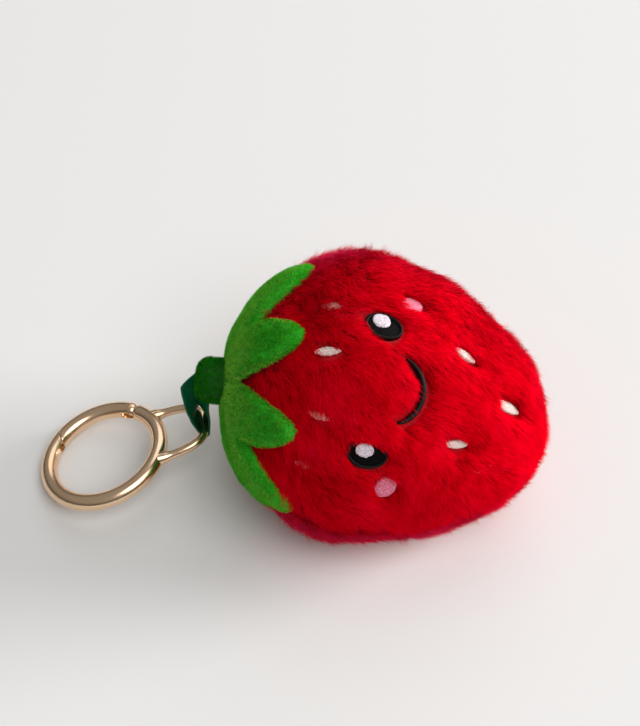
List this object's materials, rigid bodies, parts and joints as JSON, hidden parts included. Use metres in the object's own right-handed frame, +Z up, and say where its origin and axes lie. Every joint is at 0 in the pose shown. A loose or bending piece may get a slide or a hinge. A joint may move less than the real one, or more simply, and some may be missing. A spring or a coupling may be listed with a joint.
{
  "type": "plush keychain",
  "caption": "Stuffed fur strawberry with a padded leaf calyx and an embroidered smiling face, hung by a satin ribbon loop from a spring-gate ring.",
  "frame": {"origin": "middle of the flat on which the stuffed body rests, on the supporting surface", "axes": "+X from the stem end to the tip of the plush, +Z up off the supporting surface; the embroidered face leans towards -Y"},
  "size_m": [0.1351, 0.0714, 0.0641],
  "materials": {
    "fur": "long soft pile",
    "fibre": "loose polyester fibre",
    "velvet": "short velvet pile",
    "lining": "matt knit",
    "satin": "satin weave",
    "black_thread": "satin-stitch thread",
    "white_thread": "satin-stitch thread",
    "pink_thread": "satin-stitch thread",
    "gold": "polished pale gold plating",
    "steel": "plain"
  },
  "bodies": {
    "plush": {"front_panel": "fur", "back_panel": "fur", "stuffing": "fibre", "calyx_upper": "velvet", "calyx_wadding": "fibre", "calyx_lining": "lining", "stem_cover": "velvet", "stem_filling": "fibre", "ribbon_anchor": "satin", "eye_left": "black_thread", "eye_right": "black_thread", "eye_glint_left": "white_thread", "eye_glint_right": "white_thread", "smile": "black_thread", "cheek_left": "pink_thread", "cheek_right": "pink_thread", "seed_front_1": "white_thread", "seed_front_2": "white_thread", "seed_front_3": "white_thread", "seed_front_4": "white_thread", "seed_front_5": "white_thread", "seed_front_6": "white_thread", "seed_front_7": "white_thread", "seed_front_8": "white_thread", "seed_back_1": "white_thread", "seed_back_2": "white_thread", "seed_back_3": "white_thread", "seed_back_4": "white_thread", "seed_back_5": "white_thread", "seed_back_6": "white_thread"},
    "ribbon": {"ribbon_loop": "satin"},
    "spring_ring": {"ring_body": "gold", "hinge_pin": "steel"},
    "gate": {"gate": "gold", "gate_spring": "steel", "gate_plunger": "steel"}
  },
  "joints": [
    {"name": "ribbon_swing", "type": "hinge", "parent": "plush", "child": "ribbon", "pos_m": [-0.04826, 0.00712, 0.03094], "axis": [-0.1908, 0.9729, -0.1308], "range_deg": [-8, 100]},
    {"name": "ring_swing", "type": "hinge", "parent": "ribbon", "child": "spring_ring", "pos_m": [-0.04781, 0.00484, 0.01329], "axis": [-0.1908, 0.9729, -0.1308], "range_deg": [-75, 30]},
    {"name": "gate_hinge", "type": "hinge", "parent": "spring_ring", "child": "gate", "pos_m": [-0.0687, 0.01319, 0.00703], "axis": [-0.257, 0.0791, 0.9632], "range_deg": [0, 28], "stiffness_Nm_per_rad": 0.01, "springref_deg": -20.05}
  ]
}
